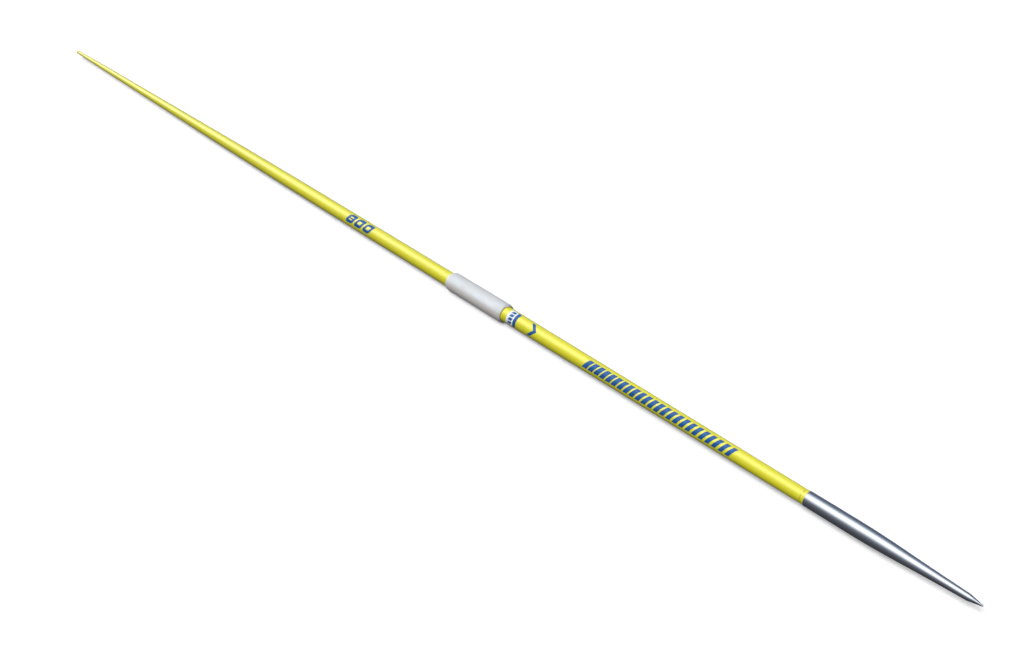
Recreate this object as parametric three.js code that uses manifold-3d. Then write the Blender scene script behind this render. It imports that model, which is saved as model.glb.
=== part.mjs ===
import * as THREE from 'three';
import { mergeVertices } from 'three/addons/utils/BufferGeometryUtils.js';
import Module from 'manifold-3d';

const wasm = await Module();
wasm.setup();

// A men's competition javelin, lying on the underside of its cord grip.
// Sizes are in millimetres. The axis runs along X with the tip towards +X and Z up.
// The balance point is at X zero and the surface that the grip lies on is at Z zero.
// A station is a distance from the tip along the axis.

// Whole javelin
const overallLength = 2645;
const tipToBalance = 981;
const shaftDiameter = 28.2;
const rearDiameter = 28.1;
const tailDiameter = 7.5;
const tubeWall = 1.2;
const tailWall = 0.85;
const glueGap = 0.15;
const seatGap = 0.3;
const edgeBreak = 0.3;

// Steel head, a swaged shell closed by a turned point
const headLength = 269;
const headDiameter = 23.8;
const headWall = 1;
const neckDiameter = 22.5;
const pointConeLength = 20;
const pointConeDiameter = 9.8;
const pointTipRadius = 0.8;
const pointSkirtLength = 18;
const shankLength = 26;
const shankWall = 1.7;

// Steel slug that sets the balance, bonded in the head
const slugLength = 34;

// Front of the shaft inside the head, and the rolled ring behind the head
const noseLength = 74;
const nosePlugLength = 22;
const nosePlugLip = 2;
const ringSetback = 6;
const ringWidth = 4;
const ringDepth = 0.35;

// Joint of the two tubes under the grip
const sleeveInset = 2.5;
const sleeveWall = 1.3;
const sleeveCollar = 2;
const glueGrooveWidth = 3;
const glueGrooveDepth = 0.35;
const glueGroovePitch = 18;

// Joint of the tail tube, and the plug in its end
const tailTubeLength = 650;
const spigotLength = 90;
const spigotWall = 1.2;
const tailPlugLength = 16;
const tailPlugCap = 2.5;

// Soft plugs that stop the tubes from ringing
const damperLength = 45;

// Cord grip
const gripLength = 152;
const gripDiameter = 35.8;
const underlayThickness = 0.8;
const underlaySetback = 2;
const gripTurns = 23;
const turnGap = 0.55;
const cutOverrun = 5;

// Outline of the head as shares of its length and of its diameter
const headOutlineShares = [
  [0.218, 0.552],
  [0.385, 0.746],
  [0.5, 0.882],
  [0.56, 0.932],
  [0.63, 0.974],
  [0.74, 0.998],
  [0.83, 1],
  [1, 1],
];

// Outline behind the grip as shares of the length to the tail and of the diameter behind the grip
const rearOutlineShares = [
  [0, 1],
  [0.244, 1],
  [0.359, 0.979],
  [0.4756, 0.908],
  [0.592, 0.79],
  [0.697, 0.677],
  [0.811, 0.555],
  [0.9055, 0.442],
  [0.967, 0.335],
];

// Section of the flattened cord as shares of its width and thickness, bed side last
const cordSectionShares = [
  [-0.5, 0.42],
  [-0.29, 1],
  [0.29, 1],
  [0.5, 0.42],
  [0.3, 0],
  [-0.3, 0],
];
const restFlatShare = 0.1;

// Facets
const roundSteps = 32;
const turnSteps = 24;
const tipArcSteps = 3;
const ringSteps = 6;

// Stations that follow from the driving dimensions
const gripFront = tipToBalance - gripLength / 2;
const gripRear = tipToBalance + gripLength / 2;
const shellFront = pointConeLength + pointSkirtLength;
const noseFront = headLength - noseLength;
const ringStation = headLength + ringSetback;
const sleeveFront = gripFront + sleeveInset;
const sleeveRear = gripRear - sleeveInset;
const tailJointStation = overallLength - tailTubeLength;

// Places on the Z axis and across the grip
const underlayRadius = shaftDiameter / 2 + glueGap + underlayThickness;
const cordBedRadius = (underlayRadius + glueGap) / Math.cos(Math.PI / turnSteps);
const cordThickness = gripDiameter / 2 - cordBedRadius;
const turnPitch = (gripLength + turnGap) / (gripTurns + 1);
const cordWidth = turnPitch - turnGap;
const restFlatDepth = restFlatShare * cordThickness;
const axisHeight = gripDiameter / 2 - restFlatDepth;

const finishes = {
  steel: { color: 0x9aa3ad, roughness: 0.22, metalness: 1 },
  slugSteel: { color: 0x6d7176, roughness: 0.5, metalness: 1 },
  lacquer: { color: 0xe6e326, roughness: 0.28, metalness: 0.1 },
  bareAluminium: { color: 0xc3c7cb, roughness: 0.4, metalness: 1 },
  moulding: { color: 0xd8d52a, roughness: 0.5, metalness: 0 },
  felt: { color: 0x8a8a86, roughness: 0.95, metalness: 0 },
  clothTape: { color: 0xb9b6ae, roughness: 0.9, metalness: 0 },
  cord: { color: 0xd3d6dc, roughness: 0.85, metalness: 0 },
};

// A smooth curve through knots that never overshoots them, as a function of the station
function smoothThrough(knots) {
  const secants = knots.slice(1).map(([place, value], i) => (value - knots[i][1]) / (place - knots[i][0]));
  const slopes = knots.map((knot, i) => {
    if (i === 0) return secants[0];
    if (i === knots.length - 1) return secants[i - 1];
    const [before, after] = [secants[i - 1], secants[i]];
    if (before * after <= 0) return 0;
    return (2 * before * after) / (before + after);
  });
  return (station) => {
    let i = 0;
    while (i < secants.length - 1 && station > knots[i + 1][0]) i += 1;
    const span = knots[i + 1][0] - knots[i][0];
    const t = (station - knots[i][0]) / span;
    const fromStart = (1 + 2 * t) * (1 - t) ** 2 * knots[i][1] + t * (1 - t) ** 2 * span * slopes[i];
    const fromEnd = t ** 2 * (3 - 2 * t) * knots[i + 1][1] + t ** 2 * (t - 1) * span * slopes[i + 1];
    return fromStart + fromEnd;
  };
}

// Outer radius of the head behind the point's cone
const headRadiusAt = smoothThrough([
  [pointConeLength, pointConeDiameter / 2],
  ...headOutlineShares.map(([place, share]) => [place * headLength, (share * headDiameter) / 2]),
]);

// Outer radius of the shaft behind the grip
const rearRadiusAt = smoothThrough([
  ...rearOutlineShares.map(([place, share]) => [
    gripRear + place * (overallLength - gripRear),
    (share * rearDiameter) / 2,
  ]),
  [overallLength, tailDiameter / 2],
]);

function between(start, end, share) {
  return start + (end - start) * share;
}

// Outer radius of the shaft, a straight taper to the grip and a long curve behind it
function shaftRadiusAt(station) {
  if (station < gripFront) {
    return between(neckDiameter, shaftDiameter, (station - headLength) / (gripFront - headLength)) / 2;
  }
  if (station < gripRear) {
    return between(shaftDiameter, rearDiameter, (station - gripFront) / gripLength) / 2;
  }
  return rearRadiusAt(station);
}

// The same with the ring that is rolled into the neck
function neckRadiusAt(station) {
  const across = Math.abs(station - ringStation) / (ringWidth / 2);
  const dip = across < 1 ? (ringDepth * (1 + Math.cos(Math.PI * across))) / 2 : 0;
  return shaftRadiusAt(station) - dip;
}

const headBoreAt = (station) => headRadiusAt(station) - headWall;
const noseRadiusAt = (station) => headBoreAt(station) - glueGap;
const noseBoreAt = (station) => noseRadiusAt(station) - tubeWall;
const shaftBoreAt = (station) => shaftRadiusAt(station) - tubeWall;
const tailBoreAt = (station) => shaftRadiusAt(station) - tailWall;

// Bore of the head for the point's shank, and the station where it has widened to the full bore
const shankEnd = shellFront + shankLength;
const shankBore = headRadiusAt(shellFront) - shankWall;
const fullBoreStart = shankEnd + headBoreAt(shankEnd) - shankBore;

// Stations at even steps, with both ends
function evenStations(from, to, steps) {
  return Array.from({ length: steps + 1 }, (unused, i) => between(from, to, i / steps));
}

// A wall that follows a radius function, given from the tip towards the tail
function wallAlong(stations, radiusAt) {
  return stations.map((station) => [station, radiusAt(station)]);
}

// A wall whose two edges are chamfered towards the axis, for a piece that slides into a bore
function brokenWall(wall, cut) {
  const [first, last] = [wall[0], wall[wall.length - 1]];
  return [
    [first[0], first[1] - cut],
    [first[0] + cut, first[1]],
    ...wall.slice(1, -1),
    [last[0] - cut, last[1]],
    [last[0], last[1] - cut],
  ];
}

function lathed(name, profile, finish) {
  const points = profile.map(([station, radius]) => new THREE.Vector2(radius, tipToBalance - station));
  const mesh = new THREE.Mesh(
    new THREE.LatheGeometry(points, roundSteps),
    new THREE.MeshStandardMaterial(finish),
  );
  mesh.name = name;
  return mesh;
}

// A solid turned from bar, with its wall given from the tip towards the tail
function turnedSolid(name, wall, finish) {
  const [front, rear] = [wall[0][0], wall[wall.length - 1][0]];
  return lathed(name, [[rear, 0], ...wall.slice().reverse(), [front, 0]], finish);
}

// A tube with its outer and inner walls given from the tip towards the tail
function turnedTube(name, outerWall, innerWall, finish) {
  const profile = [...outerWall.slice().reverse(), ...innerWall];
  return lathed(name, [...profile, profile[0]], finish);
}

// Hardened point: a cone with a rounded tip, a skirt that carries on the head's outline, and a shank
function headPoint() {
  const coneRadius = pointConeDiameter / 2;
  const tipToConeBase = Math.hypot(pointConeLength - pointTipRadius, coneRadius);
  const halfAngle = Math.atan2(coneRadius, pointConeLength - pointTipRadius)
    - Math.asin(pointTipRadius / tipToConeBase);
  const tipArc = evenStations(0, Math.PI / 2 - halfAngle, tipArcSteps).slice(1).map((angle) => [
    pointTipRadius * (1 - Math.cos(angle)),
    pointTipRadius * Math.sin(angle),
  ]);
  const skirt = wallAlong(evenStations(pointConeLength, shellFront - glueGap, 2), headRadiusAt);
  const shankRadius = shankBore - glueGap;
  const wall = [
    [0, 0],
    ...tipArc,
    ...skirt,
    [shellFront - glueGap, shankRadius],
    [shankEnd - edgeBreak, shankRadius],
    [shankEnd, shankRadius - edgeBreak],
  ];
  return lathed('head_point', [[shankEnd, 0], ...wall.reverse()], finishes.steel);
}

// Hollow steel shell, thick where the shank of the point is bonded in, with a rounded rear lip
function headShell() {
  const rearLip = [
    [headLength - headWall / 2, headRadiusAt(headLength)],
    [headLength - headWall / 8, headRadiusAt(headLength) - headWall / 8],
    [headLength, headRadiusAt(headLength) - headWall / 2],
  ];
  const outline = headOutlineShares.map(([place]) => place * headLength);
  const stations = [shellFront, ...outline.filter((place) => place > shellFront && place < headLength)];
  const boreStations = evenStations(fullBoreStart, noseFront, 4);
  const inner = [
    [shellFront, shankBore],
    [shankEnd, shankBore],
    ...wallAlong([...boreStations, ...evenStations(noseFront, headLength, 3).slice(1)], headBoreAt),
  ];
  return turnedTube('head_shell', [...wallAlong(stations, headRadiusAt), ...rearLip], inner, finishes.steel);
}

// Tapered steel slug, wedged in the bore of the head behind the point's shank
function balanceSlug() {
  const start = fullBoreStart + seatGap;
  const stations = evenStations(start, start + slugLength, 3);
  const slugRadiusAt = (station) => headBoreAt(station) - glueGap;
  return turnedSolid('balance_slug', brokenWall(wallAlong(stations, slugRadiusAt), edgeBreak), finishes.slugSteel);
}

// Aluminium plug that closes the front of the tube and holds it round inside the head
function nosePlug() {
  const lipFront = noseFront - glueGap - nosePlugLip;
  const shank = wallAlong(evenStations(noseFront, noseFront + nosePlugLength, 2), (station) => (
    noseBoreAt(station) - glueGap
  ));
  const [rearStation, rearRadius] = shank[shank.length - 1];
  const wall = [
    [lipFront, noseRadiusAt(lipFront) - edgeBreak],
    [lipFront + edgeBreak, noseRadiusAt(lipFront)],
    [noseFront - glueGap, noseRadiusAt(lipFront)],
    [noseFront - glueGap, shank[0][1]],
    ...shank.slice(1, -1),
    [rearStation - edgeBreak, rearRadius],
    [rearStation, rearRadius - edgeBreak],
  ];
  return turnedSolid('nose_plug', wall, finishes.bareAluminium);
}

// Front tube, with a swaged nose for the head, a shoulder that the head seats on and the rolled ring
function frontTube() {
  const tubeEnd = tipToBalance - sleeveCollar / 2 - glueGap;
  const shoulder = headLength + glueGap;
  const noseStations = evenStations(noseFront, headLength, 3);
  const ringStations = evenStations(ringStation - ringWidth / 2, ringStation + ringWidth / 2, ringSteps);
  const shaftStations = [gripFront, tubeEnd];
  const outer = [
    ...wallAlong(noseStations, noseRadiusAt),
    [shoulder, noseRadiusAt(headLength)],
    [shoulder, shaftRadiusAt(shoulder)],
    ...wallAlong([...ringStations, ...shaftStations], neckRadiusAt),
  ];
  const inner = [
    ...wallAlong(noseStations, noseBoreAt),
    [shoulder, noseBoreAt(headLength)],
    ...wallAlong([...ringStations, ...shaftStations], (station) => neckRadiusAt(station) - tubeWall),
  ];
  return turnedTube('front_tube', outer, inner, finishes.lacquer);
}

// Inner sleeve that joins the tubes, with a collar between their ends and grooves that hold the glue
function centreSleeve() {
  const sleeveRadiusAt = (station) => shaftBoreAt(station) - glueGap;
  const grooveAt = (station) => [
    [station - glueGrooveWidth / 2, sleeveRadiusAt(station)],
    [station - glueGrooveWidth / 4, sleeveRadiusAt(station) - glueGrooveDepth],
    [station + glueGrooveWidth / 4, sleeveRadiusAt(station) - glueGrooveDepth],
    [station + glueGrooveWidth / 2, sleeveRadiusAt(station)],
  ];
  const collarFront = tipToBalance - sleeveCollar / 2;
  const collarRear = tipToBalance + sleeveCollar / 2;
  const collarRadius = shaftRadiusAt(collarRear);
  const outer = [
    [sleeveFront, sleeveRadiusAt(sleeveFront) - edgeBreak],
    [sleeveFront + edgeBreak, sleeveRadiusAt(sleeveFront)],
    ...grooveAt(sleeveFront + glueGroovePitch),
    ...grooveAt(sleeveFront + glueGroovePitch * 2),
    [collarFront, sleeveRadiusAt(collarFront)],
    [collarFront, collarRadius],
    [collarRear, collarRadius],
    [collarRear, sleeveRadiusAt(collarRear)],
    ...grooveAt(sleeveRear - glueGroovePitch * 2),
    ...grooveAt(sleeveRear - glueGroovePitch),
    [sleeveRear - edgeBreak, sleeveRadiusAt(sleeveRear)],
    [sleeveRear, sleeveRadiusAt(sleeveRear) - edgeBreak],
  ];
  const innerRadius = sleeveRadiusAt(sleeveRear) - sleeveWall;
  const inner = [[sleeveFront, innerRadius], [sleeveRear, innerRadius]];
  return turnedTube('centre_sleeve', outer, inner, finishes.bareAluminium);
}

// Stations of the rear outline that lie on one tube, with the tube's ends
function rearStations(from, to) {
  const outline = rearOutlineShares.map(([place]) => gripRear + place * (overallLength - gripRear));
  const halfway = outline.slice(1).map((place, i) => (place + outline[i]) / 2);
  const inside = [...outline, ...halfway].filter((place) => place > from + tubeWall && place < to - tubeWall);
  return [from, ...inside.sort((a, b) => a - b), to];
}

function rearTube() {
  const start = tipToBalance + sleeveCollar / 2 + glueGap;
  const stations = rearStations(start, tailJointStation - glueGap);
  return turnedTube(
    'rear_tube',
    wallAlong(stations, shaftRadiusAt),
    wallAlong(stations, shaftBoreAt),
    finishes.lacquer,
  );
}

// Tapered inner spigot that joins the rear tube and the thinner tail tube, one half in each bore
function tailSpigot() {
  const half = spigotLength / 2;
  const inRearTube = wallAlong([tailJointStation - half, tailJointStation], (station) => (
    shaftBoreAt(station) - glueGap
  ));
  const inTailTube = wallAlong([tailJointStation, tailJointStation + half], (station) => (
    tailBoreAt(station) - glueGap
  ));
  const outer = brokenWall([...inRearTube, ...inTailTube], edgeBreak);
  const inner = [inRearTube[0], inTailTube[1]].map(([station, radius]) => [station, radius - spigotWall]);
  return turnedTube('tail_spigot', outer, inner, finishes.bareAluminium);
}

function tailTube() {
  const stations = rearStations(tailJointStation + glueGap, overallLength - tailPlugCap - glueGap);
  return turnedTube(
    'tail_tube',
    wallAlong(stations, shaftRadiusAt),
    wallAlong(stations, tailBoreAt),
    finishes.lacquer,
  );
}

// Moulded plug, its cap flush with the tube and flat at the very end
function tailPlug() {
  const capFront = overallLength - tailPlugCap;
  const shankRadius = tailBoreAt(capFront) - glueGap;
  const shankFront = capFront - tailPlugLength;
  const wall = [
    [shankFront, shankRadius - edgeBreak],
    [shankFront + edgeBreak, shankRadius],
    [capFront, shankRadius],
    [capFront, shaftRadiusAt(capFront)],
    [overallLength - edgeBreak, shaftRadiusAt(overallLength)],
    [overallLength, shaftRadiusAt(overallLength) - edgeBreak],
  ];
  return turnedSolid('tail_plug', wall, finishes.moulding);
}

// Felt plug in the middle of the length of tube that lies free between two inner pieces
function damper(name, spanFront, spanRear) {
  const middle = (spanFront + spanRear) / 2;
  const stations = evenStations(middle - damperLength / 2, middle + damperLength / 2, 2);
  return turnedSolid(name, wallAlong(stations, (place) => shaftBoreAt(place) - seatGap), finishes.felt);
}

// Cloth tape on the shaft, the bed of the cord
function gripUnderlay() {
  const stations = [gripFront + underlaySetback, gripRear - underlaySetback];
  return turnedTube(
    'grip_underlay',
    wallAlong(stations, () => underlayRadius),
    wallAlong(stations, () => underlayRadius - underlayThickness),
    finishes.clothTape,
  );
}

// Rings of section points along the helix, from the front of the grip to its rear.
// The winding starts and ends at the top, and its middle turn crosses the underside at the balance point.
function cordRings() {
  const rise = turnPitch / (2 * Math.PI);
  return Array.from({ length: gripTurns * turnSteps + 1 }, (unused, step) => {
    const angle = (2 * Math.PI * step) / turnSteps;
    const out = new THREE.Vector3(Math.sin(angle), 0, Math.cos(angle));
    const along = new THREE.Vector3(cordBedRadius * out.z, -rise, -cordBedRadius * out.x).normalize();
    const across = new THREE.Vector3().crossVectors(along, out);
    const centre = new THREE.Vector3(0, (gripTurns * turnPitch) / 2 - rise * angle, 0);
    return cordSectionShares.map(([widthShare, heightShare]) => (
      centre.clone()
        .addScaledVector(across, widthShare * cordWidth)
        .addScaledVector(out, cordBedRadius + heightShare * cordThickness)
    ));
  });
}

// Least distance between points of the cord that are at least half a turn apart
function leastGap(rings) {
  let least = Infinity;
  for (let i = 0; i < rings.length; i += 1) {
    for (let j = i + turnSteps / 2; j < Math.min(rings.length, i + 2 * turnSteps); j += 1) {
      for (const a of rings[i]) {
        for (const b of rings[j]) least = Math.min(least, a.distanceTo(b));
      }
    }
  }
  return least;
}

// One closed tube over the rings, with a flat cap on each end
function tubeOverRings(rings) {
  const sides = rings[0].length;
  const last = (rings.length - 1) * sides;
  const faces = [];
  for (let ring = 0; ring < last; ring += sides) {
    for (let side = 0; side < sides; side += 1) {
      const next = (side + 1) % sides;
      faces.push(ring + side, ring + next, ring + sides + next);
      faces.push(ring + side, ring + sides + next, ring + sides + side);
    }
  }
  for (let side = 1; side < sides - 1; side += 1) {
    faces.push(0, side + 1, side);
    faces.push(last, last + side, last + side + 1);
  }
  const geometry = new THREE.BufferGeometry();
  geometry.setAttribute('position', new THREE.Float32BufferAttribute(rings.flat().flatMap((p) => p.toArray()), 3));
  geometry.setIndex(faces);
  return geometry;
}

function solidOf(geometry) {
  const bare = geometry.clone();
  bare.deleteAttribute('normal');
  bare.deleteAttribute('uv');
  const merged = mergeVertices(bare);
  return new wasm.Manifold(new wasm.Mesh({
    numProp: 3,
    vertProperties: new Float32Array(merged.attributes.position.array),
    triVerts: new Uint32Array(merged.index.array),
  }));
}

function geometryOf(solid) {
  const { vertProperties, triVerts } = solid.getMesh();
  const geometry = new THREE.BufferGeometry();
  geometry.setAttribute('position', new THREE.BufferAttribute(vertProperties, 3));
  geometry.setIndex(new THREE.BufferAttribute(triVerts, 1));
  geometry.computeVertexNormals();
  return geometry;
}

// Cord wound round the underlay in one helix, pressed flat where the javelin lies on it
function gripCord() {
  const rings = cordRings();
  console.log(`grip_cord least gap ${leastGap(rings).toFixed(3)} mm over ${gripTurns} turns`);
  const below = new THREE.BoxGeometry(gripDiameter, gripLength + cutOverrun, cutOverrun);
  below.translate(0, 0, -axisHeight - cutOverrun / 2);
  const flattened = solidOf(tubeOverRings(rings)).subtract(solidOf(below));
  const mesh = new THREE.Mesh(geometryOf(flattened), new THREE.MeshStandardMaterial(finishes.cord));
  mesh.name = 'grip_cord';
  return mesh;
}

// Every piece is made round the Y axis, and the group lays that axis along X at the height of the grip
const javelin = new THREE.Group();
const axis = new THREE.Group();
axis.position.set(0, 0, axisHeight);
axis.rotation.set(0, 0, -Math.PI / 2);
axis.add(
  headPoint(),
  headShell(),
  balanceSlug(),
  nosePlug(),
  frontTube(),
  centreSleeve(),
  rearTube(),
  tailSpigot(),
  tailTube(),
  tailPlug(),
  damper('front_damper', noseFront + nosePlugLength, sleeveFront),
  damper('rear_damper', sleeveRear, tailJointStation - spigotLength / 2),
  gripUnderlay(),
  gripCord(),
);
javelin.add(axis);

export default javelin;
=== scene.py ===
import math

import bmesh
import bpy
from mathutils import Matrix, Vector


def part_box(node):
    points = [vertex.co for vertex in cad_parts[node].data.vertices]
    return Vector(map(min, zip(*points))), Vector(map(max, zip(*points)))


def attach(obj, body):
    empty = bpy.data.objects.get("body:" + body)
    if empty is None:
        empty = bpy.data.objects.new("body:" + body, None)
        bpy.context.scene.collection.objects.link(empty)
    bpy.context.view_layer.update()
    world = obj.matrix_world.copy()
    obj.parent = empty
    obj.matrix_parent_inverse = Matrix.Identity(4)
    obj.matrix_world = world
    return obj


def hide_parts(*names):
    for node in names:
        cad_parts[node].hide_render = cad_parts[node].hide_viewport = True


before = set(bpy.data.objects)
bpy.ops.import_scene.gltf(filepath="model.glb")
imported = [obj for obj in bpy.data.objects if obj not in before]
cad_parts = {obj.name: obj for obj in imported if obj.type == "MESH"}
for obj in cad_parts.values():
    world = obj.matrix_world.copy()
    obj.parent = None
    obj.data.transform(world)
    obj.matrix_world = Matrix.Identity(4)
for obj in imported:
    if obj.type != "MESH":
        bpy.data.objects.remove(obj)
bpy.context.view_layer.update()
print('frame loaded with', len(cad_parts), 'pieces')

# Everything is in metres. A station is a distance from the tip along the axis. An angle
# round the shaft counts up from the camera's side, in degrees, and 90 is the top.
javelin = {
    'shaftDiameter': 0.0282,
    'rearDiameter': 0.0281,
    'tailDiameter': 0.0075,
    'neckDiameter': 0.0225,
    'tubeWall': 0.0012,
    'tailWall': 0.00085,
    'glueGap': 0.00015,
    'edgeBreak': 0.0003,
    'sleeveCollar': 0.002,
    'lacquerLip': 0.00025,  # how far the lacquer rounds over at a tube's end
    'lipSteps': 4,
    'roundSides': 96,
}
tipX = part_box('head_point')[1].x
axisZ = sum(corner.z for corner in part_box('rear_tube')) / 2
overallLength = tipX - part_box('tail_plug')[0].x
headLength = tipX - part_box('head_shell')[0].x
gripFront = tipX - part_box('grip_cord')[1].x
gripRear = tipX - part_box('grip_cord')[0].x
balance = tipX  # the origin lies below the balance point
tailJoint = (2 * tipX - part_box('rear_tube')[0].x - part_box('tail_tube')[1].x) / 2
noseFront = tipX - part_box('front_tube')[1].x


# The place that the photograph was taken from, its angles in degrees
viewpoint = {
    'fromTip': Vector((0.356060, -1.048705, 1.170703)),
    'angles': (53.8010, 2.47079, 48.22179),
    'lens': 40.297,
    'sensor': 36,
}


def placeCamera():
    lensData = bpy.data.cameras.new('photoCamera')
    lensData.lens = viewpoint['lens']
    lensData.sensor_width = viewpoint['sensor']
    lensData.sensor_fit = 'HORIZONTAL'
    camera = bpy.data.objects.new('photoCamera', lensData)
    camera.location = viewpoint['fromTip'] + Vector((tipX, 0, 0))
    camera.rotation_euler = [math.radians(angle) for angle in viewpoint['angles']]
    bpy.context.scene.collection.objects.link(camera)
    bpy.context.scene.camera = camera


placeCamera()
print('camera placed')


# Gives inputs a plain value, or a link where the value is another node's output
def setSockets(tree, node, values):
    for key, value in values.items():
        if isinstance(value, bpy.types.NodeSocket):
            tree.links.new(value, node.inputs[key])
        else:
            node.inputs[key].default_value = value


def addNode(tree, kind, settings=None, inputs=None):
    made = tree.nodes.new('ShaderNode' + kind)
    for key, value in (settings or {}).items():
        setattr(made, key, value)
    setSockets(tree, made, inputs or {})
    return made


def calc(tree, operation, *values):
    return addNode(tree, 'Math', {'operation': operation}, dict(enumerate(values))).outputs[0]


def ownPlace(tree):
    return addNode(tree, 'TexCoord').outputs['Object']


def splitPlace(tree):
    return addNode(tree, 'SeparateXYZ', inputs={'Vector': ownPlace(tree)}).outputs


# Noise that is as fine along X, Y and Z as the three numbers of its stretch
def grain(tree, stretch, detail=3, roughness=0.5, scale=1):
    mapping = addNode(tree, 'Mapping', inputs={'Vector': ownPlace(tree), 'Scale': stretch})
    inputs = {'Vector': mapping.outputs['Vector'], 'Scale': scale,
              'Detail': detail, 'Roughness': roughness}
    return addNode(tree, 'TexNoise', inputs=inputs).outputs['Fac']


def ramp(tree, factor, low, high, fromValue, toValue):
    inputs = {'Value': factor, 'From Min': low, 'From Max': high,
              'To Min': fromValue, 'To Max': toValue}
    return addNode(tree, 'MapRange', inputs=inputs).outputs['Result']


def blendColours(tree, factor, first, second):
    inputs = {0: factor, 6: first, 7: second}  # a Mix node names its sockets alike for every type
    return addNode(tree, 'Mix', {'data_type': 'RGBA'}, inputs).outputs[2]


def bumpFrom(tree, height, distance, strength=1, below=None):
    inputs = {'Height': height, 'Distance': distance, 'Strength': strength}
    if below is not None:
        inputs['Normal'] = below
    return addNode(tree, 'Bump', inputs=inputs).outputs['Normal']


def startMaterial(name):
    material = bpy.data.materials.new(name)
    material.use_nodes = True
    tree = material.node_tree
    return material, tree, tree.nodes['Principled BSDF']


# Finishes. Nearly all of a noise lies between these two values.
noiseSpan = (0.3, 0.7)

headSteel = {
    'bright': (0.60, 0.635, 0.68, 1),
    'dull': (0.50, 0.53, 0.58, 1),
    'dullRange': (0.38, 0.7),
    'point': (0.37, 0.395, 0.435, 1),  # the point is darker over its last two centimetres
    'pointEnd': 0.012,
    'pointFade': 0.021,
    'polish': 0.15,
    'smudged': 0.24,
    'smudgeRange': (0.35, 0.72),
    'lineRoughness': (-0.02, 0.025),
    'smudges': {'stretch': (9, 40, 40), 'detail': 5, 'roughness': 0.62, 'scale': 1.6},
    'turningLines': {'stretch': (2600, 6, 6), 'detail': 2, 'roughness': 0.7},
    'turningDepth': 0.000004,
    'hairlines': {'stretch': (12, 1500, 1500), 'roughness': 0.6},
    'hairlineDepth': 0.000003,
}


def polishedSteel():
    material, tree, shader = startMaterial('polishedSteel')
    smudges = grain(tree, **headSteel['smudges'])
    turningLines = grain(tree, **headSteel['turningLines'])
    hairlines = grain(tree, **headSteel['hairlines'])
    dulled = ramp(tree, smudges, *headSteel['dullRange'], 0, 1)
    colour = blendColours(tree, dulled, headSteel['bright'], headSteel['dull'])
    darkerToPoint = ramp(tree, splitPlace(tree)['X'], tipX - headSteel['pointFade'],
                   tipX - headSteel['pointEnd'], 0, 1)
    wear = ramp(tree, smudges, *headSteel['smudgeRange'], headSteel['polish'], headSteel['smudged'])
    lines = ramp(tree, turningLines, *noiseSpan, *headSteel['lineRoughness'])
    turned = bumpFrom(tree, turningLines, headSteel['turningDepth'])
    setSockets(tree, shader, {
        'Base Color': blendColours(tree, darkerToPoint, colour, headSteel['point']),
        'Metallic': 1,
        'Roughness': calc(tree, 'ADD', wear, lines),
        'Normal': bumpFrom(tree, hairlines, headSteel['hairlineDepth'], below=turned),
    })
    return material


# A thin ring rolled in just behind the head, with broken lines of grime in it
neckRing = {
    'setback': 0.006,
    'width': 0.004,
    'depth': 0.0003,
    'grimeWidth': 0.0017,
    'grimeRange': (0.4, 0.6),
    'leastGrime': 0.15,
}
lacquer = {
    'yellow': (0.752, 0.716, 0.006, 1),
    'deep': (0.712, 0.674, 0.005, 1),
    'deepRange': (0.35, 0.7),
    'grime': (0.42, 0.38, 0.045, 1),
    'gloss': 0.25,
    'scuffed': 0.39,
    'scuffRange': (0.4, 0.75),
    'scratchRange': (0.66, 0.74),
    'scratchShare': 0.35,
    'drift': {'stretch': (7, 40, 40)},
    'scuffs': {'stretch': (26, 900, 900), 'detail': 4, 'roughness': 0.65},
    'peel': {'stretch': (300, 300, 300), 'detail': 2},
    'peelDepth': 0.000012,
    'coatRoughness': 0.13,
    'ior': 1.6,
}


def yellowLacquer():
    material, tree, shader = startMaterial('yellowLacquer')
    drift = grain(tree, **lacquer['drift'])
    scuffs = grain(tree, **lacquer['scuffs'])
    peel = grain(tree, **lacquer['peel'])
    ringX = tipX - headLength - neckRing['setback']
    fromRing = calc(tree, 'ABSOLUTE', calc(tree, 'SUBTRACT', splitPlace(tree)['X'], ringX))
    inRing = ramp(tree, fromRing, 0, neckRing['grimeWidth'], 1, 0)
    broken = ramp(tree, peel, *neckRing['grimeRange'], neckRing['leastGrime'], 1)
    deepened = ramp(tree, drift, *lacquer['deepRange'], 0, 1)
    yellow = blendColours(tree, deepened, lacquer['yellow'], lacquer['deep'])
    scratched = ramp(tree, scuffs, *lacquer['scratchRange'], 0, lacquer['scratchShare'])
    worn = blendColours(tree, scratched, yellow, lacquer['deep'])
    grimy = calc(tree, 'MULTIPLY', inRing, broken)
    setSockets(tree, shader, {
        'Base Color': blendColours(tree, grimy, worn, lacquer['grime']),
        'Roughness': ramp(tree, scuffs, *lacquer['scuffRange'],
                          lacquer['gloss'], lacquer['scuffed']),
        'Normal': bumpFrom(tree, peel, lacquer['peelDepth']),
        'IOR': lacquer['ior'],
        'Coat Weight': 1,
        'Coat Roughness': lacquer['coatRoughness'],
        'Coat IOR': lacquer['ior'],
    })
    return material


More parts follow.
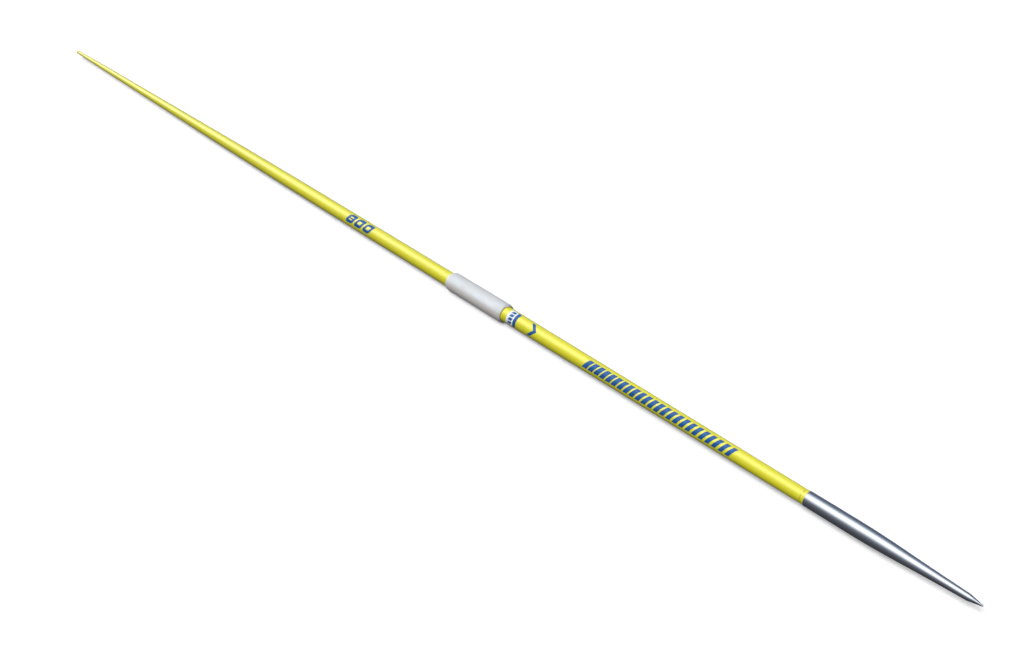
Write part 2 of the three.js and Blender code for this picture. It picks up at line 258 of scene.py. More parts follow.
whipcord = {
    'turns': 58,
    'stitches': 84,
    'slant': 2.4,
    'pale': (0.80, 0.85, 0.895, 1),
    # The far colour is painted shade: the cord turns greyer and bluer from its top towards the far
    # side
    'far': (0.43, 0.452, 0.482, 1),
    'farShadeRange': (-0.62, 0.62),  # radians from the top, towards the far side
    # The under colour is painted shade: the cord turns darker and warmer low on its sides and
    # underneath
    'under': (0.60, 0.55, 0.50, 1),
    'underShadeRange': (0.68, 0.3),  # as the cosine of the angle from the top
    'underShadeShare': 0.74,
    'handled': (0.68, 0.665, 0.65, 1),
    'handledRange': (0.45, 0.75),
    'handledShare': 0.7,
    'shade': (0.56, 0.55, 0.54, 1),
    'shadeTop': 0.45,
    'shadeShare': 0.5,
    'fibreShade': 0.6,
    'fibres': {'stretch': (2200, 2200, 2200), 'detail': 4, 'roughness': 0.7},
    'soil': {'stretch': (26, 60, 60), 'detail': 4, 'roughness': 0.6},
    'fibreHeight': 0.35,  # as a share of a stitch
    'weaveDepth': 0.00012,
    'weaveStrength': 0.8,
    'roughness': (0.8, 0.95),
    'specular': 0.15,
}


# A plait whose stitches slant both ways from the middle of each turn
def cordWeave():
    material, tree, shader = startMaterial('whipcordWeave')
    place = splitPlace(tree)
    angle = calc(tree, 'ARCTAN2', place['Y'], calc(tree, 'SUBTRACT', place['Z'], axisZ))
    fibres = grain(tree, **whipcord['fibres'])
    soil = grain(tree, **whipcord['soil'])
    pitch = (gripRear - gripFront) / whipcord['turns']
    turn = calc(tree, 'ADD', calc(tree, 'DIVIDE', place['X'], pitch),
                calc(tree, 'DIVIDE', angle, 2 * math.pi))
    fromMiddle = calc(tree, 'ABSOLUTE', calc(tree, 'SUBTRACT', calc(tree, 'FRACT', turn), 0.5))
    phase = calc(tree, 'ADD', calc(tree, 'MULTIPLY', angle, whipcord['stitches']),
                 calc(tree, 'MULTIPLY', fromMiddle, 2 * math.pi * whipcord['slant']))
    stitch = ramp(tree, calc(tree, 'SINE', phase), -1, 1, 0, 1)
    # Painted shade: the cord turns greyer and bluer towards the far side
    farShadeMask = ramp(tree, angle, *whipcord['farShadeRange'], 0, 1)
    lit = blendColours(tree, farShadeMask, whipcord['pale'], whipcord['far'])
    # Painted shade: the cord turns darker and warmer low on its sides and underneath
    low = ramp(tree, calc(tree, 'COSINE', angle), *whipcord['underShadeRange'],
               0, whipcord['underShadeShare'])
    underShadedCord = blendColours(tree, low, lit, whipcord['under'])
    soiled = ramp(tree, soil, *whipcord['handledRange'], 0, whipcord['handledShare'])
    pale = blendColours(tree, soiled, underShadedCord, whipcord['handled'])
    hollow = calc(tree, 'MULTIPLY',
                  ramp(tree, stitch, 0, whipcord['shadeTop'], whipcord['shadeShare'], 0),
                  ramp(tree, fibres, *noiseSpan, 1, whipcord['fibreShade']))
    woven = calc(tree, 'MULTIPLY_ADD', fibres, whipcord['fibreHeight'], stitch)
    setSockets(tree, shader, {
        'Base Color': blendColours(tree, hollow, pale, whipcord['shade']),
        'Roughness': ramp(tree, fibres, *noiseSpan, *whipcord['roughness']),
        'Normal': bumpFrom(tree, woven, whipcord['weaveDepth'], whipcord['weaveStrength']),
        'Specular IOR Level': whipcord['specular'],
    })
    return material


prints = {
    'blue': {'fresh': (0.002, 0.074, 0.262, 1), 'worn': (0.006, 0.10, 0.325, 1), 'roughness': 0.34},
    'white': {'fresh': (0.80, 0.84, 0.88, 1), 'worn': (0.70, 0.75, 0.80, 1), 'roughness': 0.3},
    'wornRange': (0.4, 0.72),
    'dulling': 0.12,
    'dullRange': (0.35, 0.75),
    'patches': {'stretch': (120, 120, 120), 'detail': 4, 'roughness': 0.6},
    'grain': {'stretch': (1800, 1800, 1800), 'detail': 2},
    'grainDepth': 0.000004,
    'specular': 0.4,
    'coat': 0.15,
    'coatRoughness': 0.25,
}


def printedFilm(name, ink):
    material, tree, shader = startMaterial(name)
    patches = grain(tree, **prints['patches'])
    fine = grain(tree, **prints['grain'])
    worn = ramp(tree, patches, *prints['wornRange'], 0, 1)
    setSockets(tree, shader, {
        'Base Color': blendColours(tree, worn, ink['fresh'], ink['worn']),
        'Roughness': ramp(tree, patches, *prints['dullRange'],
                          ink['roughness'], ink['roughness'] + prints['dulling']),
        'Normal': bumpFrom(tree, fine, prints['grainDepth']),
        'Specular IOR Level': prints['specular'],
        'Coat Weight': prints['coat'],
        'Coat Roughness': prints['coatRoughness'],
    })
    return material


# One recipe for the plain pieces: the moulded plug, and what the shaft hides
plain = {
    'patches': {'stretch': (60, 60, 60), 'detail': 4, 'roughness': 0.6},
    'darkRange': (0.35, 0.7),
    'detail': 4,
    'fineness': 0.65,
    'unevenness': 0.06,
}


def plainFinish(name, light, dark, metallic, roughness, stretch, depth):
    material, tree, shader = startMaterial(name)
    patches = grain(tree, **plain['patches'])
    fine = grain(tree, stretch, plain['detail'], plain['fineness'])
    darker = ramp(tree, patches, *plain['darkRange'], 0, 1)
    uneven = plain['unevenness']
    setSockets(tree, shader, {
        'Base Color': blendColours(tree, darker, light, dark),
        'Metallic': metallic,
        'Roughness': ramp(tree, fine, *noiseSpan, roughness - uneven, roughness + uneven),
        'Normal': bumpFrom(tree, fine, depth),
    })
    return material


steelFinish = polishedSteel()
lacquerFinish = yellowLacquer()
cordFinish = cordWeave()
blueFinish = printedFilm('blueInk', prints['blue'])
whiteFinish = printedFilm('whiteFilm', prints['white'])
tailFinish = plainFinish('tailMoulding', light=(0.70, 0.67, 0.05, 1), dark=(0.62, 0.58, 0.05, 1),
                         metallic=0, roughness=0.5, stretch=(1500, 1500, 1500), depth=0.00002)
slugFinish = plainFinish('turnedSlug', light=(0.16, 0.165, 0.17, 1), dark=(0.11, 0.11, 0.115, 1),
                         metallic=1, roughness=0.5, stretch=(2600, 8, 8), depth=0.00001)
aluminiumFinish = plainFinish('turnedAluminium', light=(0.55, 0.57, 0.60, 1),
                              dark=(0.48, 0.50, 0.52, 1), metallic=1, roughness=0.38,
                              stretch=(2600, 8, 8), depth=0.000008)
feltFinish = plainFinish('pressedFelt', light=(0.27, 0.27, 0.26, 1), dark=(0.2, 0.2, 0.19, 1),
                         metallic=0, roughness=0.95, stretch=(1400, 1400, 1400), depth=0.0002)
tapeFinish = plainFinish('clothTape', light=(0.5, 0.47, 0.42, 1), dark=(0.42, 0.39, 0.35, 1),
                         metallic=0, roughness=0.9, stretch=(2000, 900, 900), depth=0.00008)
print('finishes mixed')


# The outline of the javelin
headOutline = {
    'coneLength': 0.020,
    'coneDiameter': 0.0103,
    'tipRadius': 0.0012,
    'diameter': 0.0238,
    'wall': 0.001,
    # shares of the head's length and of its diameter
    'shares': ((0.218, 0.566), (0.385, 0.748), (0.5, 0.882), (0.56, 0.932),
               (0.63, 0.974), (0.74, 0.998), (0.83, 1), (1, 1)),
}
rearOutline = {
    # shares of the length behind the grip and of the diameter there
    'shares': ((0, 1), (0.244, 1), (0.359, 0.979), (0.4756, 0.908), (0.592, 0.79),
               (0.697, 0.677), (0.811, 0.555), (0.9055, 0.442), (0.967, 0.335)),
}


# A smooth curve through knots that never overshoots them
def smoothThrough(knots):
    secants = [(b[1] - a[1]) / (b[0] - a[0]) for a, b in zip(knots, knots[1:])]
    slopes = [secants[0]]
    for before, after in zip(secants, secants[1:]):
        slopes.append(2 * before * after / (before + after) if before * after > 0 else 0)
    slopes.append(secants[-1])

    def heightAt(station):
        i = 0
        while i < len(secants) - 1 and station > knots[i + 1][0]:
            i += 1
        span = knots[i + 1][0] - knots[i][0]
        t = (station - knots[i][0]) / span
        start = (1 + 2 * t) * (1 - t) ** 2 * knots[i][1] + t * (1 - t) ** 2 * span * slopes[i]
        end = t ** 2 * (3 - 2 * t) * knots[i + 1][1] + t ** 2 * (t - 1) * span * slopes[i + 1]
        return start + end

    return heightAt


headRadius = smoothThrough(
    [(headOutline['coneLength'], headOutline['coneDiameter'] / 2)]
    + [(place * headLength, share * headOutline['diameter'] / 2)
       for place, share in headOutline['shares']])
rearRadius = smoothThrough(
    [(gripRear + place * (overallLength - gripRear), share * javelin['rearDiameter'] / 2)
     for place, share in rearOutline['shares']]
    + [(overallLength, javelin['tailDiameter'] / 2)])


def mixed(start, end, share):
    return start + (end - start) * share


def shaftRadius(station):
    if station < gripFront:
        share = (station - headLength) / (gripFront - headLength)
        radius = mixed(javelin['neckDiameter'], javelin['shaftDiameter'], share) / 2
        across = abs(station - headLength - neckRing['setback']) / (neckRing['width'] / 2)
        dip = neckRing['depth'] * (1 + math.cos(math.pi * across)) / 2 if across < 1 else 0
        return radius - dip
    if station < gripRear:
        share = (station - gripFront) / (gripRear - gripFront)
        return mixed(javelin['shaftDiameter'], javelin['rearDiameter'], share) / 2
    return rearRadius(station)


def steps(start, end, count):
    return [mixed(start, end, i / count) for i in range(count + 1)]


# A quarter round at the front edge of a turned piece, from its face to its outside
def frontRound(station, radius, size, count):
    return [(station + size * (1 - math.cos(a)), radius - size * (1 - math.sin(a)))
            for a in steps(0, math.pi / 2, count)]


# The same at its rear edge, from its outside to its face
def rearRound(station, radius, size, count):
    return [(station - size * (1 - math.sin(a)), radius - size * (1 - math.cos(a)))
            for a in steps(0, math.pi / 2, count)]


# Makes the object, smooths it up to its sharp edges and says what it is
def finishPiece(name, verts, faces, finish, replaced=None, sharpAngle=35):
    mesh = bpy.data.meshes.new(name)
    mesh.from_pydata(verts, [], faces)
    shaper = bmesh.new()
    shaper.from_mesh(mesh)
    bmesh.ops.recalc_face_normals(shaper, faces=shaper.faces)
    shaper.to_mesh(mesh)
    shaper.free()
    mesh.shade_smooth()
    mesh.set_sharp_from_angle(angle=math.radians(sharpAngle))
    mesh.materials.append(finish)
    piece = bpy.data.objects.new(name, mesh)
    bpy.context.scene.collection.objects.link(piece)
    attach(piece, 'root')
    if replaced:
        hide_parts(replaced)


# Turns stations and radii that close on themselves, or that start and end on the axis
def turnPiece(name, profile, finish, replaced):
    sides = javelin['roundSides']
    verts = []
    rings = []
    for station, radius in profile:
        if radius == 0:
            rings.append([len(verts)])
            verts.append((tipX - station, 0, axisZ))
            continue
        rings.append(range(len(verts), len(verts) + sides))
        for i in range(sides):
            angle = 2 * math.pi * i / sides
            verts.append((tipX - station, radius * math.sin(angle),
                          axisZ + radius * math.cos(angle)))
    pairs = list(zip(rings, rings[1:]))
    if len(rings[0]) > 1:
        pairs.append((rings[-1], rings[0]))
    faces = []
    for front, rear in pairs:
        for i in range(sides):
            j = (i + 1) % sides
            if len(front) == 1:
                faces.append((front[0], rear[i], rear[j]))
            elif len(rear) == 1:
                faces.append((front[i], rear[0], front[j]))
            else:
                faces.append((front[i], rear[i], rear[j], front[j]))
    finishPiece(name, verts, faces, finish, replaced)


# Head: a turned point and a swaged shell, whose outline runs on over the seam
headPieces = {
    'skirt': 0.018,
    'shank': 0.026,
    'shankWall': 0.0017,
    'seamBreak': 0.00003,
    'seamGap': 0.00003,
    'tipSteps': 8,
    'skirtSteps': 12,
    'shellSteps': 90,
    'boreSteps': 40,
    'edgeSteps': 5,
}
seam = headOutline['coneLength'] + headPieces['skirt']
shankEnd = seam + headPieces['shank']
shankBore = headRadius(seam) - headPieces['shankWall']


def buildPoint():
    coneLength = headOutline['coneLength']
    coneRadius = headOutline['coneDiameter'] / 2
    tipRadius = headOutline['tipRadius']
    toBase = math.hypot(coneLength - tipRadius, coneRadius)
    halfAngle = math.atan2(coneRadius, coneLength - tipRadius) - math.asin(tipRadius / toBase)
    rear = seam - headPieces['seamGap']
    edge = headPieces['seamBreak']
    shankEdge = javelin['edgeBreak']
    shankRadius = shankBore - javelin['glueGap']
    profile = [(0, 0)]
    profile += [(tipRadius * (1 - math.cos(a)), tipRadius * math.sin(a))
                for a in steps(0, math.pi / 2 - halfAngle, headPieces['tipSteps'])[1:]]
    profile += [(s, headRadius(s))
                for s in steps(coneLength, rear - edge, headPieces['skirtSteps'])]
    profile += [
        (rear, headRadius(rear) - edge),
        (rear, shankRadius),
        (shankEnd - shankEdge, shankRadius),
        (shankEnd, shankRadius - shankEdge),
        (shankEnd, 0),
    ]
    turnPiece('point_polished', profile, steelFinish, 'head_point')


def buildShell():
    edge = headPieces['seamBreak']
    wall = headOutline['wall']
    lip = wall / 2
    boreStart = shankEnd + headRadius(shankEnd) - wall - shankBore
    outer = [(seam, headRadius(seam) - edge)]
    outer += [(s, headRadius(s))
              for s in steps(seam + edge, headLength - lip, headPieces['shellSteps'])]
    outer += rearRound(headLength, headRadius(headLength), lip, headPieces['edgeSteps'])[1:]
    inner = [(s, headRadius(s) - wall)
             for s in steps(headLength, boreStart, headPieces['boreSteps'])]
    inner += [(shankEnd, shankBore), (seam, shankBore)]
    turnPiece('shell_polished', outer + inner, steelFinish, 'head_shell')


buildPoint()
buildShell()
print('head turned')


# Lacquered tubes, and the number of steps along each of their stretches
tubeSteps = {'nose': 12, 'noseBore': 8, 'ring': 16, 'ringBore': 8, 'front': 40, 'frontBore': 8,
             'rear': 90, 'tail': 70}


# Outer radius of the tube inside the head
def noseRadius(station):
    return headRadius(station) - headOutline['wall'] - javelin['glueGap']


def buildFrontTube():
    wall = javelin['tubeWall']
    shoulder = headLength + javelin['glueGap']
    end = balance - javelin['sleeveCollar'] / 2 - javelin['glueGap']
    ringStart = headLength + neckRing['setback'] - neckRing['width'] / 2
    ringEnd = ringStart + neckRing['width']
    outer = [(s, noseRadius(s)) for s in steps(noseFront, headLength, tubeSteps['nose'])]
    outer += [(shoulder, noseRadius(headLength))]
    outer += frontRound(shoulder, shaftRadius(shoulder), javelin['lacquerLip'], javelin['lipSteps'])
    outer += [(s, shaftRadius(s)) for s in steps(ringStart, ringEnd, tubeSteps['ring'])
              + steps(ringEnd, end, tubeSteps['front'])[1:]]
    inner = [(s, shaftRadius(s) - wall) for s in steps(end, ringEnd, tubeSteps['frontBore'])
             + steps(ringEnd, ringStart, tubeSteps['ringBore'])[1:]]
    inner += [(shoulder, noseRadius(headLength) - wall)]
    inner += [(s, noseRadius(s) - wall)
              for s in steps(headLength, noseFront, tubeSteps['noseBore'])]
    turnPiece('front_shaft', outer + inner, lacquerFinish, 'front_tube')


# A tube behind the balance point, its outer edges rounded over by the lacquer
def buildTube(name, start, end, count, wall, replaced):
    lip = javelin['lacquerLip']
    stations = steps(start, end, count)
    outer = frontRound(start, shaftRadius(start), lip, javelin['lipSteps'])
    outer += [(s, shaftRadius(s)) for s in stations if start + lip < s < end - lip]
    outer += rearRound(end, shaftRadius(end), lip, javelin['lipSteps'])
    inner = [(s, shaftRadius(s) - wall) for s in reversed(stations)]
    turnPiece(name, outer + inner, lacquerFinish, replaced)


# The moulded plug that closes the tail
tailCap = {'thickness': 0.0025, 'length': 0.016, 'edgeSteps': 5}
capFront = overallLength - tailCap['thickness']


def buildTailCap():
    plugFront = capFront - tailCap['length']
    shank = shaftRadius(capFront) - javelin['tailWall'] - javelin['glueGap']
    edge = javelin['edgeBreak']
    profile = [(plugFront, 0), (plugFront, shank - edge)]
    profile += [(plugFront + edge, shank), (capFront, shank)]
    profile += [(capFront, shaftRadius(capFront) - edge / 2)]
    profile += [(capFront + edge / 2, shaftRadius(capFront))]
    profile += rearRound(overallLength, shaftRadius(overallLength), edge, tailCap['edgeSteps'])
    profile += [(overallLength, 0)]
    turnPiece('tail_cap', profile, tailFinish, 'tail_plug')


buildFrontTube()
buildTube('rear_shaft', balance + javelin['sleeveCollar'] / 2 + javelin['glueGap'],
          tailJoint - javelin['glueGap'], tubeSteps['rear'], javelin['tubeWall'], 'rear_tube')
buildTube('tail_shaft', tailJoint + javelin['glueGap'], capFront - javelin['glueGap'],
          tubeSteps['tail'], javelin['tailWall'], 'tail_tube')
buildTailCap()
print('shaft turned')


# Grip: one whipcord wound from the front to the rear, thinner over its first and last turns
winding = {
    'outerDiameter': 0.0361,
    'strandHeight': 0.0026,
    'strandWidth': 0.985,  # as a share of the pitch
    'stepsPerTurn': 60,
    'sectionSides': 12,
    'drawnInTurns': 2.4,
    'endShare': 0.42,
    'squareness': 0.72,  # below 1 the section is fuller than an ellipse
    'settle': 0.00004,  # the turns lie this unevenly, in two slow beats
    'settleBeats': (3.7, 1.3),
    'settleShift': 0.5,
    'sharpAngle': 60,
}


def buildWinding():
    pitch = (gripRear - gripFront) / whipcord['turns']
    woundTurns = whipcord['turns'] - 1
    width = pitch * winding['strandWidth']
    height = winding['strandHeight']
    outerRadius = winding['outerDiameter'] / 2
    bedRadius = outerRadius - height
    sides = winding['sectionSides']
    fullness = winding['squareness']
    fastBeat, slowBeat = winding['settleBeats']
    ringCount = woundTurns * winding['stepsPerTurn'] + 1
    verts = []
    for step in range(ringCount):
        turn = step / winding['stepsPerTurn']
        angle = 2 * math.pi * turn
        out = Vector((0, math.sin(angle), math.cos(angle)))
        along = Vector((-pitch, 2 * math.pi * outerRadius * math.cos(angle),
                        -2 * math.pi * outerRadius * math.sin(angle))).normalized()
        across = along.cross(out)
        fromEnd = min(turn, woundTurns - turn) / winding['drawnInTurns']
        size = mixed(winding['endShare'], 1, math.sin(min(fromEnd, 1) * math.pi / 2))
        settle = winding['settle'] * math.sin(turn * fastBeat)
        settle *= math.sin(turn * slowBeat + winding['settleShift'])
        middle = Vector((tipX - gripFront - pitch * (turn + 0.5), 0, axisZ))
        middle += out * (bedRadius + height * size / 2 + settle - winding['settle'])
        for i in range(sides):
            a = 2 * math.pi * i / sides
            wide = math.copysign(abs(math.cos(a)) ** fullness, math.cos(a))
            high = math.copysign(abs(math.sin(a)) ** fullness, math.sin(a))
            point = middle + across * (wide * width / 2) + out * (high * height * size / 2)
            verts.append((point.x, point.y, max(point.z, 0)))  # pressed flat on the floor
    faces = []
    for start in range(0, (ringCount - 1) * sides, sides):
        for i in range(sides):
            j = (i + 1) % sides
            faces.append((start + i, start + j, start + sides + j, start + sides + i))
    faces.append(tuple(range(sides)))
    faces.append(tuple(range((ringCount - 1) * sides, ringCount * sides)))
    finishPiece('grip_winding', verts, faces, cordFinish, 'grip_cord',
                winding['sharpAngle'])


buildWinding()
print('grip wound at', whipcord['turns'], 'turns to its length')


# Printed marks: thin films laid on the lacquer
film = {'thickness': 0.00004, 'lift': 0.00003, 'middleAngle': 46}


# A film over stretches of the shaft. Each has a function from two shares, across and along,
# to a station and an arc in metres, and its numbers of steps across and along.
def layFilm(name, stretches, finish, base=0):
    low = film['lift'] + base
    high = low + film['thickness']
    verts = []
    faces = []
    for place, acrossSteps, alongSteps in stretches:
        start = len(verts)
        for lift in (low, high):
            for i in range(acrossSteps + 1):
                for j in range(alongSteps + 1):
                    station, arc = place(i / acrossSteps, j / alongSteps)
                    radius = shaftRadius(station)
                    angle = math.radians(film['middleAngle']) + arc / radius
                    radius += lift
                    verts.append((tipX - station, -radius * math.cos(angle),
                                  axisZ + radius * math.sin(angle)))
        row = alongSteps + 1
        layer = row * (acrossSteps + 1)
        for i in range(acrossSteps):
            for j in range(alongSteps):
                corner = start + i * row + j
                quad = (corner, corner + 1, corner + row + 1, corner + row)
                faces.append(tuple(v + layer for v in quad))
                faces.append(quad[::-1])
        rim = [start + j for j in range(alongSteps)]
        rim += [start + i * row + alongSteps for i in range(acrossSteps)]
        rim += [start + acrossSteps * row + j for j in range(alongSteps, 0, -1)]
        rim += [start + i * row for i in range(acrossSteps, 0, -1)]
        for a, b in zip(rim, rim[1:] + rim[:1]):
            faces.append((a, b, b + layer, a + layer))
    finishPiece(name, verts, faces, finish)


# A bar across the shaft that leans towards the tip
def leaningBar(station, width, height, lean, curveSteps, shift=0):
    def place(up, along):
        rise = (up - 0.5) * height
        return station + (0.5 - along) * width - rise * lean, shift + rise
    return place, curveSteps, 1


# A row of plain leaning bars that grow thinner towards the tip
barRow = {
    'front': 0.394,
    'rear': 0.703,
    'count': 24,
    'height': 0.0172,
    'lean': 0.55,
    'widest': 0.0104,
    'narrowest': 0.0078,
    'curveSteps': 14,
}


def buildBarRow():
    pitch = (barRow['rear'] - barRow['front']) / barRow['count']
    bars = []
    for i in range(barRow['count']):
        station = barRow['rear'] - (i + 0.5) * pitch
        width = mixed(barRow['widest'], barRow['narrowest'], i / (barRow['count'] - 1))
        bars.append(leaningBar(station, width, barRow['height'], barRow['lean'],
                               barRow['curveSteps']))
    layFilm('bar_row', bars, blueFinish)


# The weight in grams, in rings of even stroke, with a thin bar across the 8
weightMark = {
    'digits': '800',
    'rear': 1.374,
    'pitch': 0.028,
    'width': 0.0232,
    'height': 0.0206,
    'stroke': 0.0066,
    'crossbarShare': 0.42,  # of the stroke
    'crossbarSteps': 4,
    'lean': 0.45,
    'corner': 0.0068,
    'leastCorner': 0.0004,
    'lift': 0.002,
    'lapSteps': 64,
    'strokeSteps': 8,
}


# A point on a box with round corners, at a share of one lap and an inset from its edge
def roundBoxPoint(lap, inset):
    halfWide = weightMark['width'] / 2 - inset
    halfHigh = weightMark['height'] / 2 - inset
    bend = max(weightMark['corner'] - inset, weightMark['leastCorner'])
    wide = math.cos(2 * math.pi * lap)
    high = math.sin(2 * math.pi * lap)
    reach = 1 / max(abs(wide) / halfWide, abs(high) / halfHigh)
    x, y = wide * reach, high * reach
    overX = abs(x) - (halfWide - bend)
    overY = abs(y) - (halfHigh - bend)
    if overX > 0 and overY > 0:
        long = math.hypot(overX, overY)
        x = math.copysign(halfWide - bend + overX * bend / long, x)
        y = math.copysign(halfHigh - bend + overY * bend / long, y)
    return x, y


def ringStroke(station):
    def place(lap, inward):
        x, y = roundBoxPoint(lap, weightMark['stroke'] * inward)
        arc = weightMark['lift'] + y
        return station - x - arc * weightMark['lean'], arc
    return place, weightMark['lapSteps'], weightMark['strokeSteps']


def buildWeightMark():
    lean = weightMark['lean']
    lift = weightMark['lift']
    inner = weightMark['width'] - 2 * weightMark['stroke']
    thin = weightMark['stroke'] * weightMark['crossbarShare']
    stretches = []
    for i, digit in enumerate(weightMark['digits']):
        station = weightMark['rear'] - weightMark['width'] / 2 - i * weightMark['pitch']
        stretches.append(ringStroke(station))
        if digit == '8':
            stretches.append(leaningBar(station - lift * lean, inner, thin, lean,
                                        weightMark['crossbarSteps'], lift))
    layFilm('weight_mark', stretches, blueFinish)


# White film with a blue stripe and a column of plain dashes
sticker = {
    'front': 0.8692,
    'rear': 0.8932,
    'height': 0.029,
    'curveSteps': 36,
    'stripe': 0.0072,
    'dashes': 4,
    'dashPlace': 0.0146,  # behind the front edge
    'dashWidth': 0.0084,
    'dashHeight': 0.005,
    'dashGap': 0.0016,
    'dashLean': 0.5,
    'dashSteps': 4,
}


def buildSticker():
    middle = (sticker['front'] + sticker['rear']) / 2
    length = sticker['rear'] - sticker['front']
    sheet = leaningBar(middle, length, sticker['height'], 0, sticker['curveSteps'])
    layFilm('sticker_white', [sheet], whiteFinish)
    rows = [leaningBar(sticker['front'] + sticker['stripe'] / 2, sticker['stripe'],
                       sticker['height'], 0, sticker['curveSteps'])]
    station = sticker['front'] + sticker['dashPlace']
    pitch = sticker['dashHeight'] + sticker['dashGap']
    for i in range(sticker['dashes']):
        shift = (i - (sticker['dashes'] - 1) / 2) * pitch
        rows.append(leaningBar(station, sticker['dashWidth'], sticker['dashHeight'],
                               sticker['dashLean'], sticker['dashSteps'], shift))
    layFilm('sticker_blue', rows, blueFinish, film['thickness'] + film['lift'])


# A plain chevron that points to the tip
chevron = {'station': 0.83, 'width': 0.0078, 'height': 0.0128, 'lean': 1.0, 'curveSteps': 8}


def buildChevron():
    halves = [leaningBar(chevron['station'], chevron['width'], chevron['height'],
                         side * chevron['lean'], chevron['curveSteps'],
                         -side * chevron['height'] / 2) for side in (1, -1)]
    layFilm('chevron_mark', halves, blueFinish)


buildBarRow()
buildWeightMark()
buildSticker()
buildChevron()
print('marks laid')


# The pieces inside keep their shape and get their finish
hiddenFinishes = {
    'balance_slug': slugFinish,
    'nose_plug': aluminiumFinish,
    'centre_sleeve': aluminiumFinish,
    'tail_spigot': aluminiumFinish,
    'front_damper': feltFinish,
    'rear_damper': feltFinish,
    'grip_underlay': tapeFinish,
}
for nodeName, finish in hiddenFinishes.items():
    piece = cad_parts[nodeName]
    piece.data.materials.clear()
    piece.data.materials.append(finish)
print('inner pieces finished')


# Studio: a pale floor, two broad soft lamps, and an arch and cards that reflections see
studio = {
    'floorReach': 14,
    'floorDrop': 0.0001,
    'floorColour': (0.8, 0.8, 0.8, 1),
    'floorRoughness': 0.9,
    'floorGlow': 0.5,  # tops the lamp light up to white where the floor is looked at
    # The contact settings paint a shadow: ambient occlusion darkens the floor's glow near the
    # javelin
    'contactReach': 0.012,
    'contactSamples': 8,
    'contactShadowRange': (0.3, 0.93),
    'contactShadowTone': 0.64,
    'keyStrength': 2.3,
    'keyHeight': 63,
    'keySpread': 33,
    'backStrength': 0.75,
    'backHeight': 57,
    'backSpread': 70,
    'fill': 0.36,
    'nearCard': (0.94, 0.96, 1.08, 1),
    'nearHeight': 0.0002,
    # Under the javelin the near card's glow is dimmed, a painted shadow
    'nearShadowRange': (0.004, 0.1),
    'nearGlow': (0.062, 0.16),
    'farCard': (0.17, 0.195, 0.27, 1),
    'farHeight': 0.0003,
    'cardReach': 7,
    'cardDepth': 1.6,
    'cardOverlap': 0.05,
}
# What a reflection meets on the arch: height above the floor on the camera's side, in degrees
# up to 180 on the far side, and colour
arch = {
    'steps': 48,
    'peak': 2.4,
    'stops': (
        (0, (0.20, 0.215, 0.245)),
        (15, (0.20, 0.215, 0.24)),
        (32, (0.62, 0.64, 0.66)),
        (48, (1.38, 1.40, 1.42)),
        (62, (2.10, 2.12, 2.14)),
        (75, (2.30, 2.32, 2.34)),
        (90, (2.00, 2.03, 2.05)),
        (105, (1.16, 1.20, 1.24)),
        (119, (0.56, 0.61, 0.67)),
        (131, (0.34, 0.39, 0.47)),
        (145, (0.16, 0.19, 0.26)),
        (180, (0.15, 0.18, 0.25)),
    ),
}


def linkObject(name, data):
    made = bpy.data.objects.new(name, data)
    bpy.context.scene.collection.objects.link(made)
    return made


# 1 for rays that look at the set, from the camera or by way of metal or glass
def seenDirectly(tree):
    path = addNode(tree, 'LightPath')
    glossy = calc(tree, 'MAXIMUM', path.outputs['Is Camera Ray'], path.outputs['Is Glossy Ray'])
    return calc(tree, 'MAXIMUM', glossy, path.outputs['Is Transmission Ray'])


def buildFloor():
    reach = studio['floorReach']
    drop = -studio['floorDrop']
    mesh = bpy.data.meshes.new('studio_floor')
    corners = [(-reach, -reach, drop), (reach, -reach, drop),
               (reach, reach, drop), (-reach, reach, drop)]
    mesh.from_pydata(corners, [], [(0, 1, 2, 3)])
    material, tree, shader = startMaterial('paleFloor')
    seen = seenDirectly(tree)
    # Painted contact shadow: ambient occlusion darkens the glow near the javelin
    nearby = addNode(tree, 'AmbientOcclusion', {'samples': studio['contactSamples']},
                     {'Distance': studio['contactReach']})
    contactShadow = ramp(tree, nearby.outputs['AO'], *studio['contactShadowRange'], studio['contactShadowTone'], 1)
    glow = calc(tree, 'MULTIPLY', contactShadow, studio['floorGlow'])
    setSockets(tree, shader, {
        'Base Color': studio['floorColour'],
        'Roughness': studio['floorRoughness'],
        'Specular IOR Level': 0,
        'Emission Color': (1, 1, 1, 1),
        'Emission Strength': calc(tree, 'MULTIPLY', seen, glow),
    })
    mesh.materials.append(material)
    linkObject('studio_floor', mesh)


# A shining strip along the javelin, over points across it, that the camera doesn't see and that
# casts no shadow
def buildStrip(name, points, colour, strength, seenByDiffuse):
    reach = studio['cardReach']
    verts = [(x, y, z) for y, z in points for x in (-reach, reach)]
    faces = [(2 * i, 2 * i + 1, 2 * i + 3, 2 * i + 2) for i in range(len(points) - 1)]
    mesh = bpy.data.meshes.new(name)
    mesh.from_pydata(verts, [], faces)
    material, tree, shader = startMaterial(name)
    place = splitPlace(tree)
    setSockets(tree, shader, {
        'Base Color': (0, 0, 0, 1),
        'Specular IOR Level': 0,
        'Emission Color': colour(tree, place) if callable(colour) else colour,
        'Emission Strength': strength(tree, place) if callable(strength) else strength,
    })
    mesh.materials.append(material)
    strip = linkObject(name, mesh)
    strip.visible_camera = False
    strip.visible_shadow = False
    strip.visible_transmission = False
    strip.visible_diffuse = seenByDiffuse
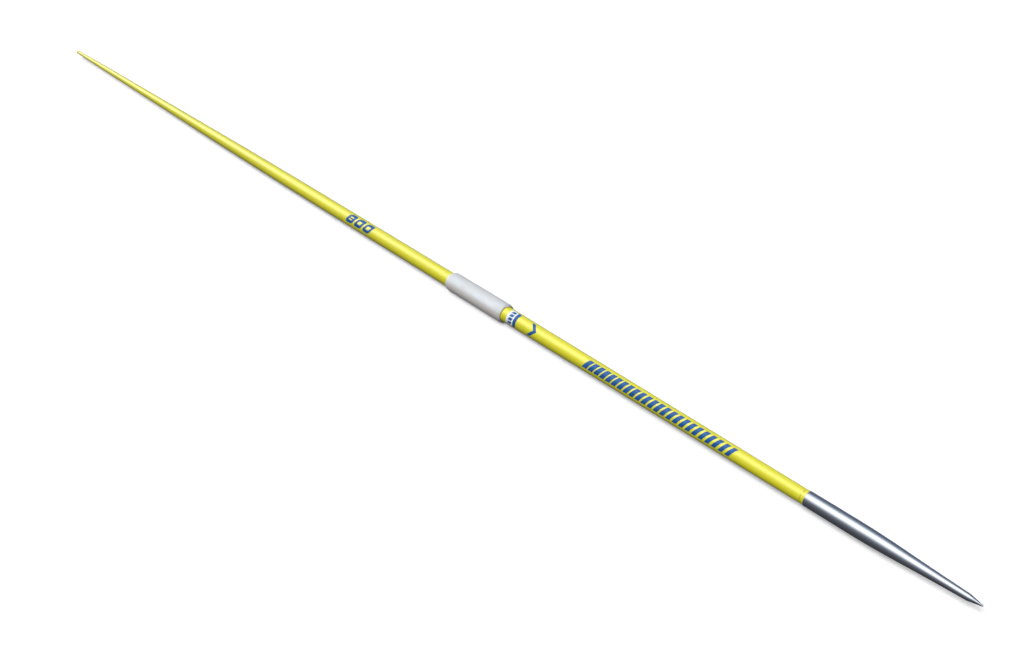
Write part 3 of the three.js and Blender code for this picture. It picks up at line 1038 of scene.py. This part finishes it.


# The near card grows brighter from under the javelin outwards: its dimmer glow under the javelin is
# painted shadow
def nearGlow(tree, place):
    return ramp(tree, calc(tree, 'ABSOLUTE', place['Y']), *studio['nearShadowRange'], *studio['nearGlow'])


def archColour(tree, place):
    towardsCamera = calc(tree, 'MULTIPLY', place['Y'], -1)
    turned = calc(tree, 'DIVIDE', calc(tree, 'ARCTAN2', place['Z'], towardsCamera), math.pi)
    made = addNode(tree, 'ValToRGB', inputs={'Fac': turned})
    stops = made.color_ramp.elements
    for index, (height, colour) in enumerate(arch['stops']):
        stop = stops[index] if index < 2 else stops.new(height / 180)  # a new ramp has two stops
        stop.position = height / 180
        stop.color = [channel / arch['peak'] for channel in colour] + [1]
    return made.outputs['Color']


def buildCards():
    overlap = studio['cardOverlap']
    depth = studio['cardDepth']
    nearPoints = [(y, studio['nearHeight']) for y in (overlap, -depth)]
    farPoints = [(y, studio['farHeight']) for y in (overlap, depth)]
    archPoints = [(-depth * math.cos(a), depth * math.sin(a))
                  for a in steps(0, math.pi, arch['steps'])]
    buildStrip('near_card', nearPoints, studio['nearCard'], nearGlow, True)
    buildStrip('far_card', farPoints, studio['farCard'], 1, False)
    buildStrip('arch', archPoints, archColour, arch['peak'], False)


# A broad lamp square to the javelin, at a height in degrees above the floor on the camera's side
def buildLamp(name, strength, height, spread):
    data = bpy.data.lights.new(name, 'SUN')
    data.energy = strength
    data.angle = math.radians(spread)
    lamp = linkObject(name, data)
    lamp.rotation_euler = (math.radians(90 - height), 0, 0)
    lamp.visible_glossy = False  # the arch stands for it in reflections


def buildLights():
    buildLamp('key', studio['keyStrength'], studio['keyHeight'], studio['keySpread'])
    buildLamp('back', studio['backStrength'], 180 - studio['backHeight'], studio['backSpread'])
    world = bpy.data.worlds.new('studioWorld')
    world.use_nodes = True
    tree = world.node_tree
    seen = seenDirectly(tree)
    strength = calc(tree, 'ADD', studio['fill'], calc(tree, 'MULTIPLY', seen, 1 - studio['fill']))
    setSockets(tree, tree.nodes['Background'], {'Color': (1, 1, 1, 1), 'Strength': strength})
    bpy.context.scene.world = world


buildFloor()
buildCards()
buildLights()
bpy.context.scene.view_settings.view_transform = 'Standard'
print('studio lit')
